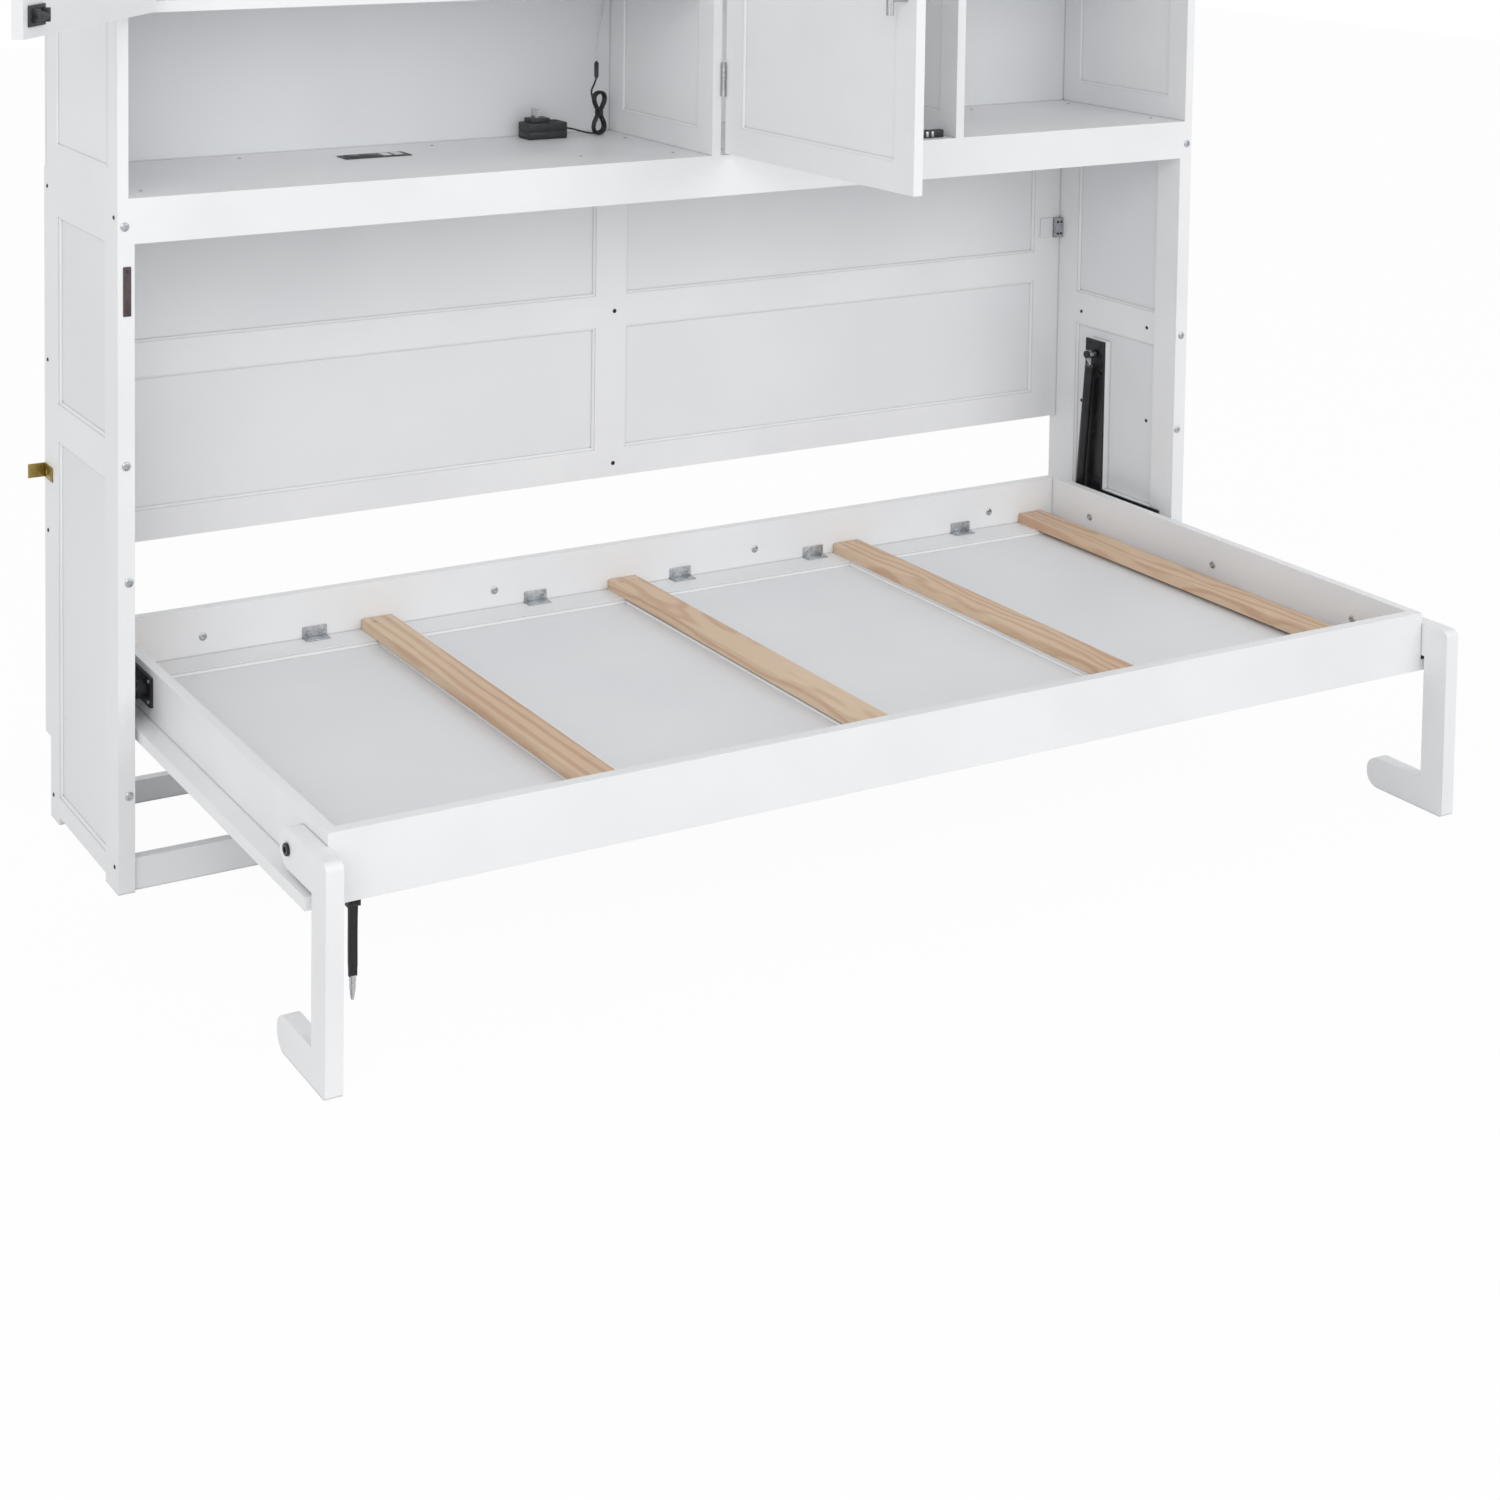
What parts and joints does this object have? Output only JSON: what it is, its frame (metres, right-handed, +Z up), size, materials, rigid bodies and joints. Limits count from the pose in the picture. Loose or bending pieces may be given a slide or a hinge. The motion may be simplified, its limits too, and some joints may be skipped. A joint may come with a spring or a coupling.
{
  "type": "murphy wall bed",
  "caption": "Horizontal wall bed with an open cupboard hutch; the single bed folds out sideways and stands on C-shaped swing legs.",
  "frame": {"origin": "middle of the underside of the front floor rail, on the floor", "axes": "+Z up, +X to the right seen from the room, +Y towards the wall; the bed folds out towards -Y"},
  "size_m": [2.5106, 1.074, 2.15],
  "materials": {
    "white_paint": "satin white paint on pine and board",
    "panel_paint": "satin white paint on thin board",
    "pine": "planed, unfinished pine",
    "black_steel": "black oxide and black paint",
    "steel_bar": "brushed, polished where it slides",
    "black_plastic": "fine-grained moulded plastic",
    "white_plastic": "white cable sheath",
    "yellow_zinc": "yellow passivated zinc",
    "bright_zinc": "bright galvanised steel",
    "rubber_pad": "moulded rubber",
    "webbing": "woven webbing"
  },
  "bodies": {
    "cabinet": {"side_left_frame": "white_paint", "side_right_frame": "white_paint", "side_panels": "panel_paint", "fixed_shelf": "white_paint", "apron": "white_paint", "floor_rails": "white_paint", "back_frame": "white_paint", "back_panels": "panel_paint", "hutch_sides": "white_paint", "hutch_uprights": "white_paint", "hutch_back": "panel_paint", "hutch_top": "white_paint", "cupboard_bottom": "white_paint", "cupboard_uprights": "white_paint", "column_shelves": "white_paint", "middle_door_hinges": "bright_zinc", "left_door_hinges": "bright_zinc", "middle_door_catch": "black_plastic", "power_strip": "black_plastic", "adapter": "black_plastic", "adapter_pins": "steel_bar", "adapter_lead": "black_plastic", "lead_hank": "black_plastic", "connector_lead": "black_plastic", "barrel_connector": "black_plastic", "led_lead": "white_plastic", "wall_brackets": "yellow_zinc", "corner_brackets": "bright_zinc", "leg_stops": "white_paint", "strike_plate": "black_steel", "cabinet_bolts": "black_steel", "pivot_plates": "black_steel", "plate_packing": "white_paint", "spring_bolts": "black_steel"},
    "bed": {"end_rail_left": "white_paint", "end_rail_right": "white_paint", "front_rail": "white_paint", "back_rail": "white_paint", "face_frame": "white_paint", "deck_panels": "panel_paint", "slats": "pine", "angle_brackets": "bright_zinc", "bed_screws": "black_steel", "bed_plates": "black_steel", "pivot_pins": "steel_bar", "leg_bolts": "black_steel", "leg_pads": "rubber_pad", "strap_staple": "black_steel"},
    "leg_left": {"leg_left": "white_paint"},
    "leg_right": {"leg_right": "white_paint"},
    "spring_rods": {"spring_rods": "steel_bar"},
    "spring_cylinders": {"spring_cylinders": "black_steel"},
    "safety_strap": {"safety_strap": "webbing"},
    "middle_door": {"middle_door": "white_paint", "middle_door_handle": "steel_bar", "middle_door_leaves": "bright_zinc"},
    "left_door": {"left_door": "white_paint", "left_door_handle": "steel_bar", "left_door_leaves": "bright_zinc", "left_door_catch": "black_plastic"}
  },
  "joints": [
    {"name": "bed_fold", "type": "hinge", "parent": "cabinet", "child": "bed", "pos_m": [0, 0.045, 0.303], "axis": [-1, 0, 0], "range_deg": [0, 82]},
    {"name": "leg_left_swing", "type": "hinge", "parent": "bed", "child": "leg_left", "pos_m": [-1.04465, -0.592, 0.295], "axis": [-1, 0, 0], "range_deg": [0, 180]},
    {"name": "leg_right_swing", "type": "hinge", "parent": "bed", "child": "leg_right", "pos_m": [1.04465, -0.592, 0.295], "axis": [-1, 0, 0], "range_deg": [0, 180]},
    {"name": "spring_swing", "type": "hinge", "parent": "cabinet", "child": "spring_rods", "pos_m": [0, 0.204, 0.606], "axis": [-1, 0, 0], "range_deg": [0, 21.25]},
    {"name": "spring_stroke", "type": "slide", "parent": "spring_rods", "child": "spring_cylinders", "axis": [0, 0.0825, -0.9966], "range_m": [0, 0.1938]},
    {"name": "strap_swing", "type": "hinge", "parent": "bed", "child": "safety_strap", "pos_m": [-0.988, -0.655, 0.232], "axis": [1, 0, 0], "range_deg": [0, 90]},
    {"name": "middle_door_swing", "type": "hinge", "parent": "cabinet", "child": "middle_door", "pos_m": [0.0115, -0.021, 1.6], "axis": [0, 0, 1], "range_deg": [-22, 88]},
    {"name": "left_door_swing", "type": "hinge", "parent": "cabinet", "child": "left_door", "pos_m": [-1.0585, -0.021, 1.7], "axis": [0, 0, 1], "range_deg": [-26, 134]}
  ],
  "couplings": [
    {"joint": "spring_swing", "follows": "bed_fold", "ratio": 0.25851},
    {"joint": "spring_stroke", "follows": "bed_fold", "m_per_rad": 0.13521}
  ]
}
